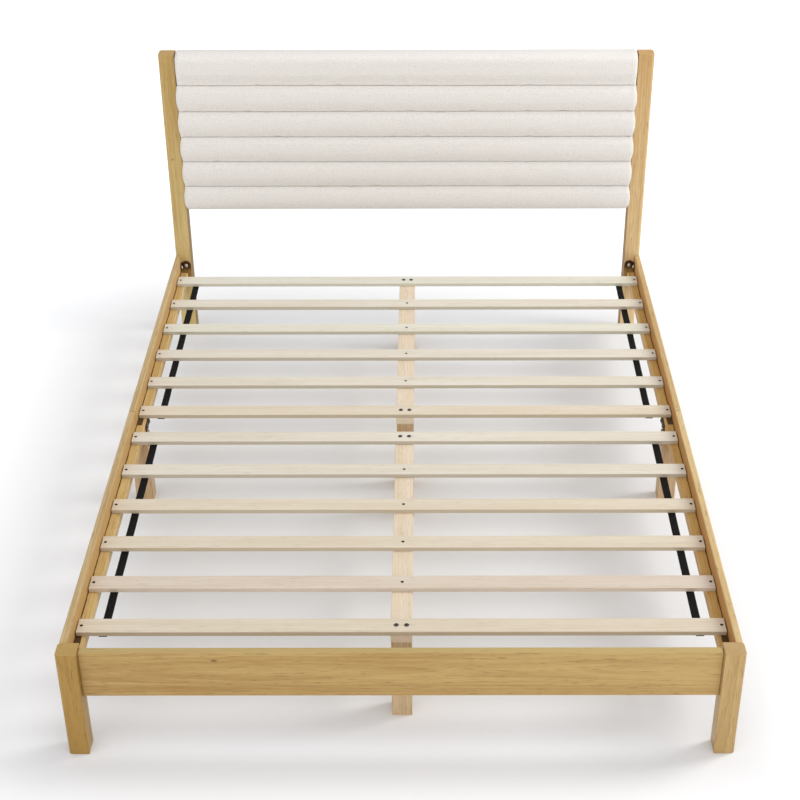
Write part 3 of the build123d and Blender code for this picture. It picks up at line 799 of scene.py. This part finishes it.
channel_names = [f"channel_{number}" for number in range(1, 7)]
channels = {}
sewn = {}
for number, name in enumerate(channel_names):
    loop = evenly(outline_of(name), stitch_step)
    low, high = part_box(name)
    seams = [low.z, high.z] if 0 < number < 5 else [low.z] if number == 0 else [high.z]
    mesh, station_count = drawn_pad(loop, seams, high.x, number)
    channels[name] = add_piece(name + "_stuffed", mesh, cloth_white, "upholstery", name, crisp=180)
    board_side = np.clip(loop, (core_low.y, core_low.z), (core_high.y, core_high.z))
    thin = np.flatnonzero(np.linalg.norm(loop - board_side, axis=1) < sewn_thickness)
    last = (station_count - 1) * len(loop)
    sewn[name] = {int(station * len(loop) + index)
                  for station in range(station_count) for index in thin}
    sewn[name] |= set(range(len(loop))) | set(range(last, last + len(loop)))

moments = 20
started = {name: places_of(pad.data) for name, pad in channels.items()}
for name, pad in channels.items():
    pad.vertex_groups.new(name="sewn").add(sorted(sewn[name]), 1.0, "ADD")
    filling = pad.modifiers.new("filling", "CLOTH")
    filling.settings.quality = 4
    filling.settings.mass = 0.15
    filling.settings.tension_stiffness = 10
    filling.settings.bending_stiffness = 0.3
    filling.settings.use_pressure = True
    filling.settings.uniform_pressure_force = 4
    filling.settings.effector_weights.gravity = 0
    filling.settings.vertex_group_mass = "sewn"
    filling.point_cache.frame_end = moments
for moment in range(1, moments + 1):
    bpy.context.scene.frame_set(moment)
settled = {name: places_of(pad.evaluated_get(bpy.context.evaluated_depsgraph_get()).data)
           for name, pad in channels.items()}
bpy.context.scene.frame_set(1)
for name, pad in channels.items():
    pad.modifiers.clear()
    pad.vertex_groups.clear()
    moved = settled[name] - started[name]
    longest = np.linalg.norm(moved, axis=1).max()
    spots = started[name] + moved * min(1, swelling / longest)
    pad.data.vertices.foreach_set("co", spots.ravel())

# The seams: each pad lies flat against the next, and the cloth puckers a little along the
# thread. The filling reaches up to the seams and closes most of each crease's deeper half,
# except near the pads' ends. It has dropped a little in front of the board, and the ends press
# out over the front edges of the posts.
post_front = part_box("head_post_left")[0].y
pucker_depth = 0.001
sewn_overlap = 0.0003
crease_reach = 0.02
crease_start = 0.5
crease_fill = 0.75
for number, (name, pad) in enumerate(channels.items()):
    low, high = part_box(name)
    bulge_y = (low.y + post_front) / 2
    for corner in pad.data.vertices:
        x, y, z = corner.co
        nearest = min([z - low.z] * (number < 5) + [high.z - z] * (number > 0))
        close = max(0.0, 1 - nearest / crease_reach) ** 2
        if y < core_low.y - 0.005 and close > 0:
            seam_side = 5 if z - low.z < high.z - z else 9
            y += pucker_depth * close * noise.noise((x * 34, number * 3.7, seam_side))
        to_end = max(0.0, 1 - (high.x - abs(x)) / (1.5 * end_round)) ** 1.5
        in_front = max(0.0, 1 - ((y - bulge_y) / (post_front - bulge_y)) ** 2)
        x += math.copysign((side_bulge if number else 0.0) * in_front * to_end, x)
        reach = high.x + side_bulge * min(1.0, max(0.0, (post_front - y - 0.001) / 0.002))
        wave = 0.0008 * noise.noise((x * 3, z * 7, 4.0))
        depth = (y - low.y) / (core_low.y - seam_rise - low.y)
        if 0 < depth < 1:
            depth = depth ** crown_flat
            from_round = min(1.0, max(0.0, (high.x - abs(x) - end_round) / 0.02))
            filled = crease_fill * from_round * (nearest < crease_reach)
            depth -= filled * max(0.0, depth - crease_start)
            y = low.y + (core_low.y - seam_rise - low.y) * depth
        outside = max(core_low.y - y, z - core_high.z)
        drop = filling_drop * min(1.0, max(0.0, outside / 0.01))
        corner.co = (
            min(max(x, -reach), reach),
            max(y, low.y - 0.001),
            min(max(z, low.z - sewn_overlap), high.z + sewn_overlap) + wave - drop,
        )
    pad.data.update()
    fullness = pad.modifiers.new("fullness", "SUBSURF")
    fullness.levels = 1
    fullness.render_levels = 1

# ---- The back cover ----
# Off-white cotton stretched over the battens, with its hems turned under and stapled all round.
# It is pulled tight, so shallow folds run in from the staples.
cover_cotton, cover_shader, cover_place = new_finish("back_cover_cotton")
cover_apart = cover_place.node("SeparateXYZ", {}, {"Vector": cover_place})
cotton_pitch = 0.0012
warp_thread = (cover_apart.output("X") * (math.tau / cotton_pitch)).maths("SINE")
weft_thread = (cover_apart.output("Z") * (math.tau / cotton_pitch)).maths("SINE")
cover_weave = warp_thread * weft_thread * 0.5 + 0.5
cover_bump = cover_weave.node("Bump", {}, {
    "Height": cover_weave, "Strength": 0.4, "Distance": 0.0002})
cover_colour = between(cover_weave * 0.5, paint(222, 218, 210), paint(202, 197, 188))
feed(cover_shader, Base_Color=cover_colour, Normal=cover_bump)
cover_shader.inputs["Roughness"].default_value = 0.9
cover_low, cover_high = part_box("headboard_back_cover")
cover_width = cover_high.x - cover_low.x
cover_height = cover_high.z - cover_low.z
staple_step = 0.07
fold_reach = 0.03
hem = 0.014
hem_ridge = 0.0025
cover_thickness = 0.0008
mesh = bmesh.new()
bmesh.ops.create_grid(mesh, x_segments=240, y_segments=80, size=0.5)
for corner in mesh.verts:
    x = corner.co.x * cover_width
    rise = corner.co.y * cover_height
    edge_distance = min(cover_width / 2 - abs(x), cover_height / 2 - abs(rise))
    along = x if cover_height / 2 - abs(rise) < cover_width / 2 - abs(x) else rise
    fold = math.cos(math.tau * along / staple_step) * math.exp(-edge_distance / fold_reach)
    ridge = math.exp(-((edge_distance - hem) / hem_ridge) ** 2)
    looseness = noise.noise((x * 3, rise * 4, 2.0))
    lift = 0.0004 * fold + 0.0005 * ridge + 0.0006 * looseness * min(1.0, edge_distance / 0.05)
    corner.co = (-x, cover_high.y + lift, (cover_low.z + cover_high.z) / 2 + rise)
bmesh.ops.recalc_face_normals(mesh, faces=mesh.faces)
cover = add_piece("back_cover_cloth", mesh, cover_cotton, "back_cover", "headboard_back_cover",
                  crisp=180)
cover.modifiers.new("thickness", "SOLIDIFY").thickness = cover_thickness
cover.modifiers["thickness"].offset = 0

staple_wire = 0.0006
staple_crown = 0.010
staple = bmesh.new()
bmesh.ops.create_cube(staple, size=1.0)
bmesh.ops.scale(staple, vec=(staple_crown, staple_wire * 1.6, staple_wire), verts=staple.verts)
bmesh.ops.bevel(staple, geom=staple.edges[:], offset=0.00025, affect="EDGES", segments=1,
                profile=0.5, material=-1)
staple_inset = hem / 2
staple_y = cover_high.y + 0.0009
staple_skew = 0.15
staple_seats = []
for edge_z in (cover_low.z + staple_inset, cover_high.z - staple_inset):
    count = round(cover_width / staple_step)
    for step in range(count):
        x = cover_low.x + cover_width * (step + 0.5) / count
        twist = staple_skew * math.sin(step * 5)
        staple_seats.append(((x, staple_y, edge_z), (0, -1, 0), twist))
for edge_x in (cover_low.x + staple_inset, cover_high.x - staple_inset):
    count = round(cover_height / staple_step)
    for step in range(count):
        z = cover_low.z + cover_height * (step + 0.5) / count
        twist = math.pi / 2 + staple_skew * math.sin(step * 3)
        staple_seats.append(((edge_x, staple_y, z), (0, -1, 0), twist))
add_piece("cover_staples", repeated(staple, staple_seats), zinc, "zinc_steel")
staple.free()

# ---- The studio ----
# A pale floor that runs on to the horizon. Away from the bed it glows, more and more, so it is
# whiter there: painted light. The soft light is strongest from above the camera, which looks
# down from the foot, and a lamp hangs on the right.
floor_size = 80
floor_glow_reach = 1.2
bpy.ops.mesh.primitive_plane_add(size=floor_size)
floor = bpy.context.object
floor.name = "studio_floor"
floor_material, floor_shader, floor_place = new_finish("studio_floor_paint")
floor_white = (0.86, 0.86, 0.86, 1.0)
floor_grey = (0.76, 0.76, 0.76, 1.0)
floor_mottle = floor_place.node("TexNoise", {}, {
    "Vector": floor_place, "Scale": 3.0, "Detail": 2.0})
floor_apart = floor_place.node("SeparateXYZ", {}, {"Vector": floor_place})
beyond_side = floor_apart.output("X").maths("ABSOLUTE") - cad_box[1].x
beyond_head = floor_apart.output("Y").maths("ABSOLUTE") - cad_box[1].y
beyond_side = beyond_side.maths("MAXIMUM", beyond_side, 0.0)
beyond_head = beyond_head.maths("MAXIMUM", beyond_head, 0.0)
away = (beyond_side ** 2.0 + beyond_head ** 2.0) ** 0.5
# The floor glows more away from the bed: painted light.
floor_glow = grey_steps(away / floor_glow_reach, (0.03, 0.0), (0.13, 0.2), (1.0, 1.0))
feed(floor_shader, Base_Color=between(floor_mottle * 0.02, floor_white, floor_grey),
     Emission_Color=between(floor_glow, paint(0, 0, 0), paint(255, 255, 255)))
floor_shader.inputs["Emission Strength"].default_value = 0.45
floor_shader.inputs["Roughness"].default_value = 0.9
floor_shader.inputs["Specular IOR Level"].default_value = 0.1
floor.data.materials.append(floor_material)

world = bpy.data.worlds.new("studio_light")
world.use_nodes = True
sky = world.node_tree.nodes["Background"]
sky.inputs["Color"].default_value = (0.98, 0.99, 1.02, 1.0)
sky_place = world.node_tree.nodes.new("ShaderNodeTexCoord")
towards = Wire(world.node_tree, sky_place.outputs["Generated"])
towards_apart = towards.node("SeparateXYZ", {}, {"Vector": towards})
facing_front = towards_apart.output("Z") * 0.53 - towards_apart.output("Y") * 0.85
feed(sky, Strength=facing_front.maths("MAXIMUM", facing_front, 0.0) ** 2.0 * 0.75 + 0.655)
bpy.context.scene.world = world

lamp = bpy.data.lights.new("key_lamp", "AREA")
lamp.shape = "RECTANGLE"
lamp.size = 1.5
lamp.size_y = 3.2
lamp.energy = 134
lamp_place = Vector((4.3, 0.5, 4.2))
lamp_aim = (Vector((0, -0.2, 0.2)) - lamp_place).to_track_quat("-Z", "Y")
lamp_object = bpy.data.objects.new("key_lamp", lamp)
lamp_object.matrix_world = Matrix.Translation(lamp_place) @ lamp_aim.to_matrix().to_4x4()
bpy.context.scene.collection.objects.link(lamp_object)

camera_place = Vector((0.0527, -3.8917, 2.6976))
camera_tilt = math.radians(90 - 31.195)
camera_turn = 0.0009
camera_roll = -0.0018
camera = bpy.data.cameras.new("camera")
camera.lens = 71.15
camera.shift_x = -0.0273
camera_object = bpy.data.objects.new("camera", camera)
camera_object.matrix_world = (
    Matrix.Translation(camera_place) @ Matrix.Rotation(camera_turn, 4, "Z")
    @ Matrix.Rotation(camera_tilt, 4, "X") @ Matrix.Rotation(camera_roll, 4, "Z")
)
bpy.context.scene.collection.objects.link(camera_object)
bpy.context.scene.camera = camera_object
bpy.context.scene.view_settings.view_transform = "Standard"
